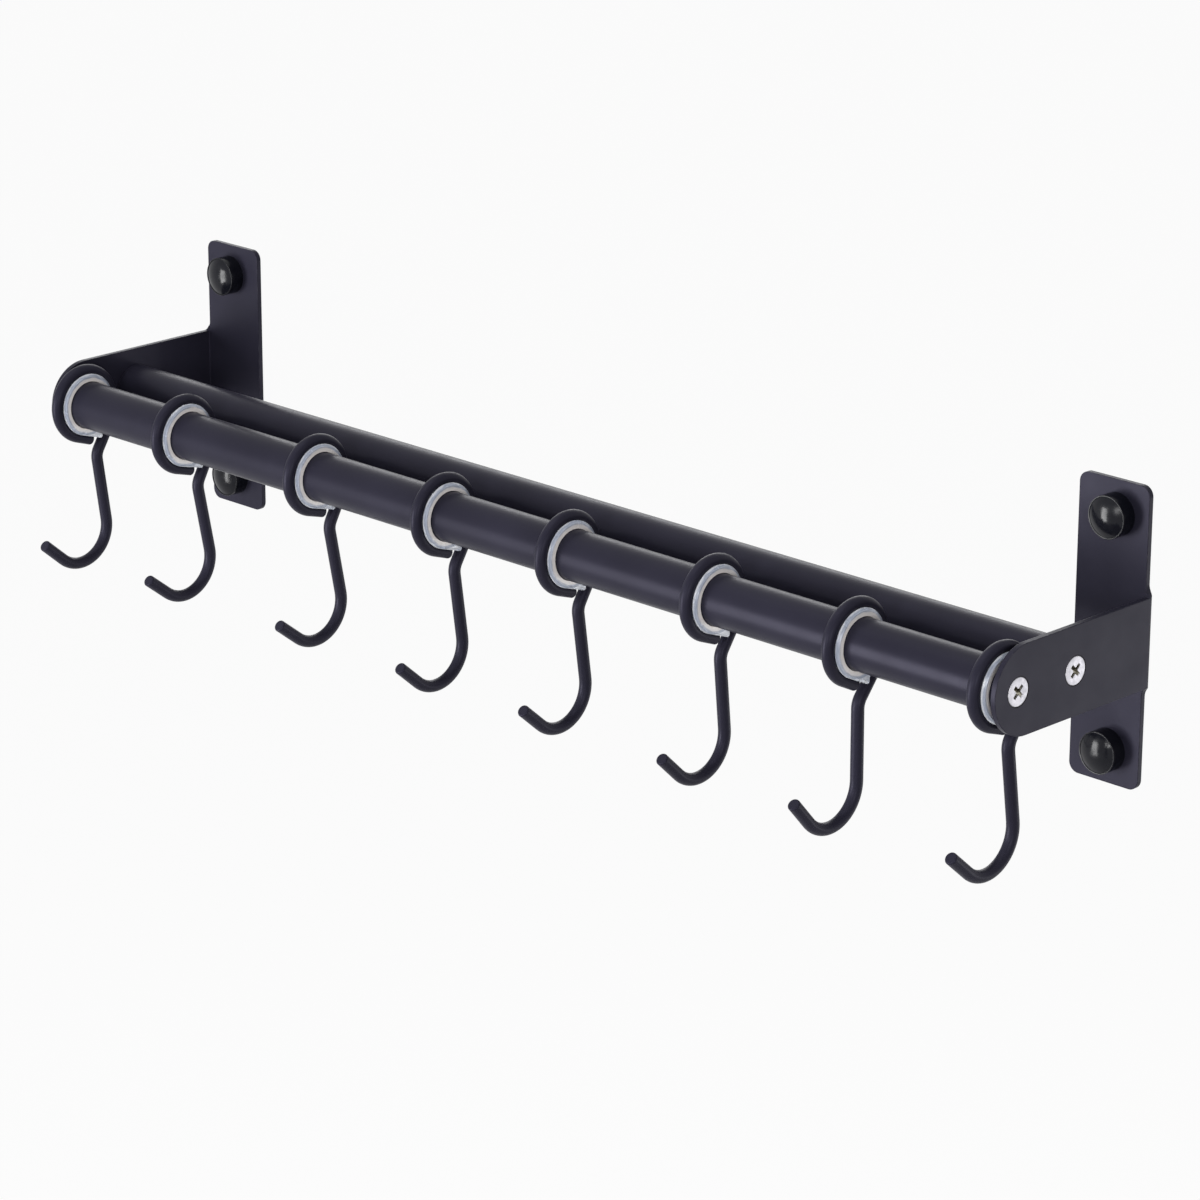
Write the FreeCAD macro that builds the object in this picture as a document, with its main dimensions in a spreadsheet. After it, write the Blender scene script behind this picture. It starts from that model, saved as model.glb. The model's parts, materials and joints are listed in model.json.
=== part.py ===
import FreeCAD, Part
import math
import os
import re
import Sketcher
from FreeCAD import Vector

# Kitchen utensil rail: two folded end brackets, two rods and eight sliding wire hooks.
# Frame: +X along the rods, +Z up, the wall is the plane Y = 0 and the rail stands out towards -Y.
# The origin is the middle of the four wall holes, level with the axes of the rods.

doc = FreeCAD.newDocument("utensil_rail")
sheet = doc.addObject("Spreadsheet::Sheet", "sizes")
working = doc.addObject("Spreadsheet::Sheet", "working")

# Driving dimensions in millimetres. Each hook also has the share of the free travel at which it stands,
# and the angle in degrees by which it hangs forward of straight down.
SIZES = [
    ("overall_length", 444.0),
    ("sheet_thickness", 1.8),
    ("bend_radius", 0.4),
    ("plate_height", 99.4),
    ("plate_width", 27.3),
    ("plate_corner", 3.5),
    ("web_radius", 4.0),
    ("wall_hole", 5.5),
    ("wall_hole_inset", 11.1),
    ("wall_hole_side", 12.4),
    ("arm_height", 29.5),
    ("nose_back", 3.9),
    ("front_rod_reach", 64.9),
    ("rod_diameter", 17.2),
    ("rod_gap", 9.9),
    ("rod_wall", 1.2),
    ("plug_length", 16.0),
    ("plug_play", 0.05),
    ("screw_diameter", 5.0),
    ("screw_length", 14.0),
    ("screw_head", 9.3),
    ("screw_play", 0.1),
    ("recess_slot", 1.5),
    ("recess_span", 5.8),
    ("recess_depth", 1.6),
    ("recess_angle", 45.0),
    ("wire_diameter", 4.2),
    ("wire_end_round", 0.6),
    ("ring_play", 0.2),
    ("liner_play", 0.2),
    ("liner_floor", 1.4),
    ("liner_lip", 1.2),
    ("liner_bevel", 0.85),
    ("liner_side", 0.8),
    ("liner_split", 4.0),
    ("tongue_back", 5.4),
    ("tongue_drop", 13.7),
    ("end_play", 0.3),
    ("free_end_back", 2.4),
    ("free_end_drop", 14.0),
    ("back_drop", 5.0),
    ("back_bend", 8.0),
    ("kink_bend", 6.0),
    ("kink_back", 5.0),
    ("kink_drop", 22.2),
    ("curl_radius", 12.6),
    ("curl_front", 4.2),
    ("curl_drop", 47.2),
    ("tip_front", 20.8),
    ("tip_drop", 49.5),
    ("cap_diameter", 14.0),
    ("cap_side", 5.5),
    ("cap_dome", 1.6),
    ("cap_wall", 1.2),
    ("cap_rim_round", 0.4),
    ("cap_play", 0.1),
    ("base_height", 3.4),
    ("base_floor", 1.2),
    ("base_rim", 1.2),
    ("hook_1_share", 0.0),
    ("hook_1_angle", 0.0),
    ("hook_2_share", 0.1275),
    ("hook_2_angle", -3.0),
    ("hook_3_share", 0.289),
    ("hook_3_angle", -3.0),
    ("hook_4_share", 0.4365),
    ("hook_4_angle", 0.0),
    ("hook_5_share", 0.5725),
    ("hook_5_angle", 0.0),
    ("hook_6_share", 0.7225),
    ("hook_6_angle", 2.5),
    ("hook_7_share", 0.8615),
    ("hook_7_angle", 7.5),
    ("hook_8_share", 0.9955),
    ("hook_8_angle", 0.0),
]

# Sizes that follow from the ones above.
DERIVED = [
    ("rod_radius", "rod_diameter / 2"),
    ("rod_bore_radius", "rod_radius - rod_wall"),
    ("rod_length", "overall_length - 2 * sheet_thickness"),
    ("rear_rod_reach", "front_rod_reach - rod_diameter - rod_gap"),
    ("nose_reach", "front_rod_reach - nose_back"),
    ("arm_outer", "overall_length / 2"),
    ("arm_inner", "arm_outer - sheet_thickness"),
    ("plate_outer", "arm_inner - bend_radius"),
    ("fold_depth", "sheet_thickness + bend_radius"),
    ("web_rise", "sqrt(web_radius * web_radius - (web_radius - fold_depth) * (web_radius - fold_depth))"),
    ("hole_place", "plate_outer - wall_hole_side"),
    ("hole_rise", "plate_height / 2 - wall_hole_inset"),
    ("wire_radius", "wire_diameter / 2"),
    ("groove_radius", "wire_radius + ring_play"),
    ("liner_bore_radius", "rod_radius + liner_play"),
    ("ring_radius", "liner_bore_radius + liner_floor + groove_radius"),
    ("lip_radius", "liner_bore_radius + liner_floor + liner_lip"),
    ("liner_width", "2 * (groove_radius + liner_side)"),
    ("hook_travel", "rod_length - liner_width - 2 * end_play"),
    ("plug_radius", "rod_bore_radius - plug_play"),
    ("plug_hole_radius", "screw_diameter / 2 + plug_play"),
    ("head_radius", "screw_head / 2"),
    ("sink_radius", "head_radius + screw_play"),
    ("cap_radius", "cap_diameter / 2"),
    ("dome_radius", "(cap_radius * cap_radius + cap_dome * cap_dome) / (2 * cap_dome)"),
    ("base_radius", "cap_radius - cap_wall - cap_play"),
]
NAMES = [name for name, _ in SIZES + DERIVED]


def fill_sheet():
    """Write every size into its own cell, with its name as the alias."""
    for row, (name, entry) in enumerate(SIZES + DERIVED, start=1):
        derived = isinstance(entry, str)
        sheet.set("A%d" % row, name)
        sheet.set("B%d" % row, "=" + entry if derived else str(entry))
        sheet.setAlias("B%d" % row, name)
    doc.recompute()


fill_sheet()


def size(name):
    """The present value of one size."""
    return float(sheet.get(name))


def value_of(formula):
    """The present value of a formula in size names, worked out on a sheet that nothing depends on."""
    working.set("A1", "=" + bound(formula))
    working.recompute()
    return float(working.get("A1"))


def bound(formula):
    """The formula with each size name turned into a reference to the sheet."""
    def refer(match):
        word = match.group(0)
        return "sizes." + word if word in NAMES else word
    return re.sub(r"[a-z][a-z_0-9]*", refer, formula)


# Helpers for bodies and sketches


def new_body(label, x="0", y="0", z="0", turn="0", roll="0"):
    """A body placed by formulas: rolled about its own X axis and then turned about the vertical, in degrees."""
    body = doc.addObject("PartDesign::Body", "body_" + label)
    body.Label = label
    for axis, formula in (("x", x), ("y", y), ("z", z)):
        body.setExpression("Placement.Base." + axis, bound(formula))
    body.setExpression("Placement.Rotation.Yaw", bound(turn))
    body.setExpression("Placement.Rotation.Roll", bound(roll))
    return body


def new_sketch(body, name, role, lift="0", shift="0"):
    """A sketch on one of the body's origin planes, lifted off it and shifted up in it by formulas."""
    sketch = body.newObject("Sketcher::SketchObject", name + "_" + body.Label)
    plane = [item for item in body.Origin.OriginFeatures if item.Role == role][0]
    sketch.AttachmentSupport = [(plane, "")]
    sketch.MapMode = "FlatFace"
    if lift != "0":
        sketch.setExpression("AttachmentOffset.Base.z", bound(lift))
    if shift != "0":
        sketch.setExpression("AttachmentOffset.Base.y", bound(shift))
    return sketch


def pin(sketch, geometry, point, u="", v=""):
    """Fix a point's coordinates in the sketch by formulas; an empty formula leaves that one free."""
    for kind, axis, formula in (("DistanceX", -2, u), ("DistanceY", -1, v)):
        if formula == "0":
            sketch.addConstraint(Sketcher.Constraint("PointOnObject", geometry, point, axis))
        elif formula:
            value = value_of(formula)
            index = sketch.addConstraint(Sketcher.Constraint(kind, -1, 1, geometry, point, value))
            sketch.setExpression("Constraints[%d]" % index, bound(formula))


def set_radius(sketch, geometry, formula):
    index = sketch.addConstraint(Sketcher.Constraint("Radius", geometry, value_of(formula)))
    sketch.setExpression("Constraints[%d]" % index, bound(formula))


def join(sketch, kind, pairs):
    """Tie end points together, with kind Coincident or Tangent."""
    for first, first_end, second, second_end in pairs:
        sketch.addConstraint(Sketcher.Constraint(kind, first, first_end, second, second_end))


def add_line(sketch, start, end):
    return sketch.addGeometry(Part.LineSegment(Vector(*start, 0), Vector(*end, 0)), False)


def add_arc(sketch, centre, radius, start_angle, end_angle):
    """An arc that runs anticlockwise between two angles in degrees."""
    circle = Part.Circle(Vector(*centre, 0), Vector(0, 0, 1), radius)
    arc = Part.ArcOfCircle(circle, math.radians(start_angle), math.radians(end_angle))
    return sketch.addGeometry(arc, False)


def add_circle(sketch, u, v, radius):
    """A circle with its centre and radius given by formulas."""
    centre = Vector(value_of(u), value_of(v), 0)
    index = sketch.addGeometry(Part.Circle(centre, Vector(0, 0, 1), value_of(radius)), False)
    pin(sketch, index, 3, u, v)
    set_radius(sketch, index, radius)
    return index


def add_polygon(sketch, corners):
    """A closed outline whose corners are pairs of formulas."""
    points = [(value_of(u), value_of(v)) for u, v in corners]
    count = len(points)
    lines = [add_line(sketch, points[i], points[(i + 1) % count]) for i in range(count)]
    join(sketch, "Coincident", [(lines[i], 2, lines[(i + 1) % count], 1) for i in range(count)])
    for line, (u, v) in zip(lines, corners):
        pin(sketch, line, 1, u, v)
    return lines


def set_size(feature, prop, formula):
    setattr(feature, prop, value_of(formula))
    feature.setExpression(prop, bound(formula))


def add_pad(body, name, sketch, length, symmetric=False):
    pad = body.newObject("PartDesign::Pad", name + "_" + body.Label)
    pad.Profile = sketch
    pad.SideType = "Symmetric" if symmetric else "One side"
    set_size(pad, "Length", length)
    doc.recompute()
    return pad


def add_pocket(body, name, sketch, length="", symmetric=False, reverse=False):
    """A cut along the sketch's normal, right through where no length is given."""
    before = body.Shape.Volume
    pocket = body.newObject("PartDesign::Pocket", name + "_" + body.Label)
    pocket.Profile = sketch
    pocket.SideType = "Symmetric" if symmetric else "One side"
    pocket.Reversed = reverse
    if length:
        set_size(pocket, "Length", length)
    else:
        pocket.Type = "ThroughAll"
    doc.recompute()
    if body.Shape.Volume >= before:
        raise RuntimeError(pocket.Name + " cuts nothing")
    return pocket


def add_turned(body, name, kind, sketch, axis):
    """A full turn of the sketch about one of its own axes, as a Revolution or a Groove."""
    before = body.Shape.Volume if kind == "Groove" else 0.0
    feature = body.newObject("PartDesign::" + kind, name + "_" + body.Label)
    feature.Profile = sketch
    feature.ReferenceAxis = (sketch, [axis])
    feature.Angle = 360.0
    doc.recompute()
    if kind == "Groove" and body.Shape.Volume >= before:
        raise RuntimeError(feature.Name + " cuts nothing")
    return feature


def dress_edges(body, name, kind, prop, amount, wanted):
    """Round or bevel every edge of the body that the test picks, with kind Fillet or Chamfer."""
    base = body.Tip
    edges = ["Edge%d" % i for i, edge in enumerate(base.Shape.Edges, start=1) if wanted(edge)]
    feature = body.newObject("PartDesign::" + kind, name + "_" + body.Label)
    feature.Base = (base, edges)
    set_size(feature, prop, amount)
    doc.recompute()
    return feature


def add_fillet(body, name, radius, wanted):
    return dress_edges(body, name, "Fillet", "Radius", radius, wanted)


def add_chamfer(body, name, amount, wanted):
    return dress_edges(body, name, "Chamfer", "Size", amount, wanted)


def is_circle(edge, radius):
    if edge.Degenerated:
        return False
    return isinstance(edge.Curve, Part.Circle) and abs(edge.Curve.Radius - radius) < 1e-4


def is_slanted(edge):
    """True for a straight edge across both Y and Z."""
    if edge.Degenerated or not isinstance(edge.Curve, Part.Line):
        return False
    heading = edge.Curve.Direction
    return abs(heading.y) > 0.1 and abs(heading.z) > 0.1


# End brackets


def make_bracket(label, sign):
    """One folded sheet: the wall plate and the arm that carries both rods; sign is + or - for its side."""
    body = new_body(label)
    flat = new_sketch(body, "plate_outline", "XZ_Plane")
    outer = sign + "plate_outer"
    inner = sign + "(plate_outer - plate_width)"
    add_polygon(flat, [
        (inner, "-plate_height / 2"),
        (outer, "-plate_height / 2"),
        (outer, "plate_height / 2"),
        (inner, "plate_height / 2"),
    ])
    add_pad(body, "plate", flat, "sheet_thickness")
    add_fillet(body, "corners", "plate_corner", lambda edge: edge.Length < size("sheet_thickness") + 1e-6)

    fold = new_sketch(body, "fold_section", "XY_Plane")
    add_fold(fold, sign)
    add_pad(body, "fold", fold, "arm_height", symmetric=True)

    web = new_sketch(body, "web_section", "XY_Plane")
    add_web(web, sign)
    add_pad(body, "web", web, "arm_height + 2 * web_rise", symmetric=True)
    relief = new_sketch(body, "relief_outline", "XZ_Plane")
    add_relief(relief, sign, 1)
    add_relief(relief, sign, -1)
    add_pocket(body, "relief", relief, "fold_depth", reverse=True)

    nose = new_sketch(body, "nose_outline", "YZ_Plane", lift="arm_inner" if sign == "+" else "-arm_outer")
    add_circle(nose, "-nose_reach", "0", "arm_height / 2")
    add_pad(body, "nose", nose, "sheet_thickness")

    holes = new_sketch(body, "wall_holes", "XZ_Plane")
    for rise in ("hole_rise", "-hole_rise"):
        add_circle(holes, sign + "hole_place", rise, "wall_hole / 2")
    add_pocket(body, "wall_hole", holes, reverse=True)

    for name, reach in (("front", "front_rod_reach"), ("rear", "rear_rod_reach")):
        sink = new_sketch(body, name + "_sink_section", "XY_Plane", shift="-(" + reach + ")")
        add_polygon(sink, [
            (sign + "arm_inner", "0"),
            (sign + "arm_outer", "0"),
            (sign + "arm_outer", "sink_radius"),
            (sign + "arm_inner", "sink_radius - sheet_thickness"),
        ])
        add_turned(body, name + "_sink", "Groove", sink, "H_Axis")
    return body


def add_bend(sketch, sign):
    """The bend in plan: two arcs about one centre and the line to the plate; gives the arcs' ends at the arm."""
    mirror = 1 if sign == "+" else -1
    centre = (mirror * size("plate_outer"), -size("fold_depth"))
    start, end = (0, 90) if mirror > 0 else (90, 180)
    low, high = (1, 2) if mirror > 0 else (2, 1)
    big = add_arc(sketch, centre, size("fold_depth"), start, end)
    small = add_arc(sketch, centre, size("bend_radius"), start, end)
    root = add_line(sketch, (centre[0], 0), (centre[0], -size("sheet_thickness")))
    join(sketch, "Coincident", [
        (big, high, root, 1),
        (root, 2, small, high),
    ])
    pin(sketch, big, 3, sign + "plate_outer", "-fold_depth")
    pin(sketch, small, 3, sign + "plate_outer", "-fold_depth")
    pin(sketch, root, 1, sign + "plate_outer", "0")
    pin(sketch, root, 2, sign + "plate_outer", "-sheet_thickness")
    return (big, low), (small, low)


def add_fold(sketch, sign):
    """The bend and the straight arm in plan."""
    big_end, small_end = add_bend(sketch, sign)
    mirror = 1 if sign == "+" else -1
    back = -size("fold_depth")
    front = -size("nose_reach")
    inside = mirror * size("arm_inner")
    outside = mirror * size("arm_outer")
    inner_face = add_line(sketch, (inside, back), (inside, front))
    nose = add_line(sketch, (inside, front), (outside, front))
    outer_face = add_line(sketch, (outside, front), (outside, back))
    join(sketch, "Coincident", [
        (*small_end, inner_face, 1),
        (inner_face, 2, nose, 1),
        (nose, 2, outer_face, 1),
        (outer_face, 2, *big_end),
    ])
    pin(sketch, inner_face, 1, v="-fold_depth")
    pin(sketch, outer_face, 2, v="-fold_depth")
    pin(sketch, nose, 1, v="-nose_reach")
    pin(sketch, nose, 2, v="-nose_reach")
    for face in (inner_face, outer_face):
        sketch.addConstraint(Sketcher.Constraint("Vertical", face))


def add_web(sketch, sign):
    """The bend alone in plan, which stands above and below the arm before its corners are cut round."""
    big_end, small_end = add_bend(sketch, sign)
    mirror = 1 if sign == "+" else -1
    back = -size("fold_depth")
    face = add_line(sketch, (mirror * size("arm_inner"), back), (mirror * size("arm_outer"), back))
    join(sketch, "Coincident", [
        (*small_end, face, 1),
        (face, 2, *big_end),
    ])
    pin(sketch, face, 1, v="-fold_depth")
    pin(sketch, face, 2, v="-fold_depth")


def add_relief(sketch, sign, level):
    """The cut that leaves a round corner between plate and arm; level is 1 above the arm and -1 below it."""
    mirror = 1 if sign == "+" else -1
    radius = size("web_radius")
    side = "" if level > 0 else "-"
    top = side + "(arm_height / 2 + web_rise)"
    far_top = side + "(arm_height / 2 + web_rise + sheet_thickness)"
    centre = (mirror * (size("plate_outer") + radius), value_of(top))
    at_plate = (mirror * size("plate_outer"), value_of(top))
    at_arm = (mirror * size("arm_outer"), level * size("arm_height") / 2)
    plate_angle = 180 if mirror > 0 else 0
    arm_angle = math.degrees(math.atan2(at_arm[1] - centre[1], at_arm[0] - centre[0])) % 360
    starts_at_plate = mirror == level
    if starts_at_plate:
        curve = add_arc(sketch, centre, radius, plate_angle, arm_angle)
    else:
        curve = add_arc(sketch, centre, radius, arm_angle, plate_angle or 360)
    outside = mirror * (size("arm_outer") + size("sheet_thickness"))
    out = add_line(sketch, at_arm, (outside, at_arm[1]))
    up = add_line(sketch, (outside, at_arm[1]), (outside, value_of(far_top)))
    over = add_line(sketch, (outside, value_of(far_top)), (at_plate[0], value_of(far_top)))
    down = add_line(sketch, (at_plate[0], value_of(far_top)), at_plate)
    join(sketch, "Coincident", [
        (curve, 2 if starts_at_plate else 1, out, 1),
        (out, 2, up, 1),
        (up, 2, over, 1),
        (over, 2, down, 1),
        (down, 2, curve, 1 if starts_at_plate else 2),
    ])
    pin(sketch, curve, 3, sign + "(plate_outer + web_radius)", top)
    pin(sketch, down, 2, sign + "plate_outer", top)
    pin(sketch, out, 1, u=sign + "arm_outer")
    sketch.addConstraint(Sketcher.Constraint("Horizontal", out))
    pin(sketch, up, 1, u=sign + "(arm_outer + sheet_thickness)")
    pin(sketch, over, 1, sign + "(arm_outer + sheet_thickness)", far_top)
    pin(sketch, down, 1, sign + "plate_outer", far_top)


# Rods, plugs and screws


def make_rod(label, reach):
    body = new_body(label, y="-" + reach)
    section = new_sketch(body, "section", "YZ_Plane")
    add_circle(section, "0", "0", "rod_radius")
    add_circle(section, "0", "0", "rod_bore_radius")
    add_pad(body, "tube", section, "rod_length", symmetric=True)
    return body


def facing(sign):
    """The turn that points a plug or screw inwards from its end of the rail."""
    return "180" if sign == "+" else "0"


def make_plug(label, sign, reach):
    """A turned plug in the rod's end, bored for the screw, with a sunk mouth under the screw's head."""
    body = new_body(label, x=sign + "arm_inner", y="-" + reach, turn=facing(sign))
    section = new_sketch(body, "section", "XY_Plane")
    mouth = "sink_radius - sheet_thickness"
    add_polygon(section, [
        ("0", mouth),
        (mouth + " - plug_hole_radius", "plug_hole_radius"),
        ("plug_length", "plug_hole_radius"),
        ("plug_length", "plug_radius"),
        ("0", "plug_radius"),
    ])
    add_turned(body, "plug", "Revolution", section, "H_Axis")
    return body


def make_screw(label, sign, reach):
    """A countersunk screw with a cross recess, its head flush with the arm."""
    body = new_body(label, x=sign + "arm_outer", y="-" + reach, turn=facing(sign), roll="recess_angle")
    section = new_sketch(body, "section", "XY_Plane")
    add_polygon(section, [
        ("0", "0"),
        ("0", "head_radius"),
        ("head_radius - screw_diameter / 2", "screw_diameter / 2"),
        ("screw_length - screw_play", "screw_diameter / 2"),
        ("screw_length", "screw_diameter / 2 - screw_play"),
        ("screw_length", "0"),
    ])
    add_turned(body, "screw", "Revolution", section, "H_Axis")
    recess = new_sketch(body, "recess_outline", "YZ_Plane")
    near = "recess_slot / 2"
    far = "recess_span / 2"
    quarter = [(far, near), (near, near), (near, far)]
    corners = []
    for u, v in quarter:
        corners.append((u, v))
    for u, v in reversed(quarter):
        corners.append(("-" + u, v))
    for u, v in quarter:
        corners.append(("-" + u, "-" + v))
    for u, v in reversed(quarter):
        corners.append((u, "-" + v))
    add_polygon(recess, corners)
    add_pocket(body, "recess", recess, "recess_depth", reverse=True)
    return body


# Hooks and their liners


def touch(point, centre, radius, side):
    """Where a line from the point touches a circle; side is +1 or -1 for the two answers, in degrees."""
    du = point[0] - centre[0]
    dv = point[1] - centre[1]
    swing = math.degrees(math.acos(radius / math.hypot(du, dv)))
    angle = math.degrees(math.atan2(dv, du)) + side * swing
    place = (
        centre[0] + radius * math.cos(math.radians(angle)),
        centre[1] + radius * math.sin(math.radians(angle)),
    )
    return angle, place


def add_front_path(sketch):
    """From the ring's top over the front and under the rod to the free end."""
    ring = size("ring_radius")
    end = (size("free_end_back"), -size("free_end_drop"))
    angle, place = touch(end, (0, 0), ring, -1)
    arc = add_arc(sketch, (0, 0), ring, 90, 360 + angle)
    line = add_line(sketch, place, end)
    join(sketch, "Coincident", [(arc, 3, -1, 1)])
    set_radius(sketch, arc, "ring_radius")
    pin(sketch, arc, 1, u="0")
    join(sketch, "Tangent", [(arc, 2, line, 1)])
    pin(sketch, line, 2, "free_end_back", "-free_end_drop")


def add_back_path(sketch):
    """From the ring's top down behind the rod, through the kink, along the shank and round the curl."""
    ring = size("ring_radius")
    back_bend = size("back_bend")
    kink_bend = size("kink_bend")
    curl_radius = size("curl_radius")
    kink = (size("kink_back"), -size("kink_drop"))
    curl = (-size("curl_front"), -size("curl_drop"))
    tip = (-size("tip_front"), -size("tip_drop"))
    shank_angle, shank_end = touch(kink, curl, curl_radius, -1)
    curl_angle, curl_end = touch(tip, curl, curl_radius, 1)
    back_centre = (ring - back_bend, -size("back_drop"))
    kink_centre = (
        kink[0] + kink_bend * math.cos(math.radians(shank_angle)),
        kink[1] + kink_bend * math.sin(math.radians(shank_angle)),
    )
    du = kink_centre[0] - back_centre[0]
    dv = kink_centre[1] - back_centre[1]
    reach = math.sqrt(du * du + dv * dv - (back_bend + kink_bend) ** 2)
    heading = math.atan2(dv, du) - math.atan2(back_bend + kink_bend, reach)
    normal = (math.sin(heading), -math.cos(heading))
    back_end = (back_centre[0] - back_bend * normal[0], back_centre[1] - back_bend * normal[1])
    kink_start = (kink_centre[0] + kink_bend * normal[0], kink_centre[1] + kink_bend * normal[1])
    normal_angle = math.degrees(math.atan2(normal[1], normal[0]))

    over = add_arc(sketch, (0, 0), ring, 0, 90)
    drop = add_line(sketch, (ring, 0), (ring, back_centre[1]))
    back = add_arc(sketch, back_centre, back_bend, normal_angle - 180, 0)
    inward = add_line(sketch, back_end, kink_start)
    bend = add_arc(sketch, kink_centre, kink_bend, normal_angle, shank_angle + 180)
    shank = add_line(sketch, kink, shank_end)
    hook = add_arc(sketch, curl, curl_radius, curl_angle, shank_angle)
    lip = add_line(sketch, curl_end, tip)
    join(sketch, "Coincident", [(over, 3, -1, 1)])
    set_radius(sketch, over, "ring_radius")
    pin(sketch, over, 2, u="0")
    join(sketch, "Tangent", [
        (over, 1, drop, 1),
        (drop, 2, back, 2),
        (back, 1, inward, 1),
        (inward, 2, bend, 1),
        (bend, 2, shank, 1),
        (shank, 2, hook, 2),
        (hook, 1, lip, 1),
    ])
    sketch.addConstraint(Sketcher.Constraint("Vertical", drop))
    pin(sketch, drop, 2, v="-back_drop")
    set_radius(sketch, back, "back_bend")
    set_radius(sketch, bend, "kink_bend")
    set_radius(sketch, hook, "curl_radius")
    pin(sketch, shank, 1, "kink_back", "-kink_drop")
    pin(sketch, hook, 3, "-curl_front", "-curl_drop")
    pin(sketch, lip, 2, "-tip_front", "-tip_drop")


def add_pipe(body, name, profile, path):
    pipe = body.newObject("PartDesign::AdditivePipe", name + "_" + body.Label)
    pipe.Profile = profile
    pipe.Spine = (path, ["Edge%d" % i for i in range(1, path.GeometryCount + 1)])
    pipe.Mode = "Frenet"
    pipe.Transition = "Transformed"
    doc.recompute()
    return pipe


def make_hook(label, x, hang):
    """One bent wire, swept both ways from the top of its ring."""
    body = new_body(label, x=x, y="-front_rod_reach", roll="-" + hang)
    profile = new_sketch(body, "wire_section", "XZ_Plane")
    add_circle(profile, "0", "ring_radius", "wire_radius")
    front_path = new_sketch(body, "front_path", "YZ_Plane")
    add_front_path(front_path)
    back_path = new_sketch(body, "back_path", "YZ_Plane")
    add_back_path(back_path)
    doc.recompute()
    add_pipe(body, "front_wire", profile, front_path)
    add_pipe(body, "back_wire", profile, back_path)
    ends = (
        Vector(0, size("free_end_back"), -size("free_end_drop")),
        Vector(0, -size("tip_front"), -size("tip_drop")),
    )
    add_fillet(body, "cut_ends", "wire_end_round", lambda edge: any(
        is_circle(edge, size("wire_radius")) and (edge.Curve.Center - end).Length < 0.01 for end in ends
    ))
    section = math.pi * size("wire_radius") ** 2
    length = front_path.Shape.Length + back_path.Shape.Length
    if abs(body.Shape.Volume / (section * length) - 1) > 0.01:
        raise RuntimeError(label + " isn't one whole wire")
    return body


def make_liner(label, x, hang):
    """A split channel of clear plastic between ring and rod, with a tongue under the ring's free end."""
    body = new_body(label, x=x, y="-front_rod_reach", roll="-" + hang)
    outline = new_sketch(body, "side_outline", "YZ_Plane")
    bore = size("liner_bore_radius")
    lip = size("lip_radius")
    split = size("liner_split")
    tongue = (size("tongue_back"), -size("tongue_drop"))
    lip_angle, lip_end = touch(tongue, (0, 0), lip, -1)
    bore_end = (tongue[0], -math.sqrt(bore * bore - tongue[0] * tongue[0]))
    bore_start_angle = -math.degrees(math.asin(split / bore))
    bore_end_angle = 360 + math.degrees(math.atan2(bore_end[1], bore_end[0]))
    lip_start_angle = -math.degrees(math.asin(split / lip))
    inside = add_arc(outline, (0, 0), bore, bore_start_angle, bore_end_angle)
    outside = add_arc(outline, (0, 0), lip, lip_start_angle, 360 + lip_angle)
    under = add_line(outline, lip_end, tongue)
    tongue_end = add_line(outline, tongue, bore_end)
    back_end = add_line(outline, (math.sqrt(bore * bore - split * split), -split),
                        (math.sqrt(lip * lip - split * split), -split))
    join(outline, "Coincident", [
        (inside, 3, -1, 1),
        (outside, 3, -1, 1),
        (under, 2, tongue_end, 1),
        (tongue_end, 2, inside, 2),
        (inside, 1, back_end, 1),
        (back_end, 2, outside, 1),
    ])
    join(outline, "Tangent", [(outside, 2, under, 1)])
    set_radius(outline, inside, "liner_bore_radius")
    set_radius(outline, outside, "lip_radius")
    pin(outline, under, 2, "tongue_back", "-tongue_drop")
    outline.addConstraint(Sketcher.Constraint("Vertical", tongue_end))
    outline.addConstraint(Sketcher.Constraint("Horizontal", back_end))
    pin(outline, back_end, 1, v="-liner_split")
    add_pad(body, "side", outline, "liner_width", symmetric=True)
    add_chamfer(body, "bevel", "liner_bevel", lambda edge: is_circle(edge, lip) or is_slanted(edge))

    seat = new_sketch(body, "seat_section", "XY_Plane")
    add_circle(seat, "0", "ring_radius", "groove_radius")
    add_turned(body, "seat", "Groove", seat, "H_Axis")
    slot = new_sketch(body, "slot_outline", "YZ_Plane")
    add_circle(slot, "0", "0", "ring_radius")
    add_circle(slot, "0", "0", "2 * ring_radius")
    add_pocket(body, "slot", slot, "2 * groove_radius", symmetric=True)
    return body


# Caps over the wall screws and the bases that they snap on


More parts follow.
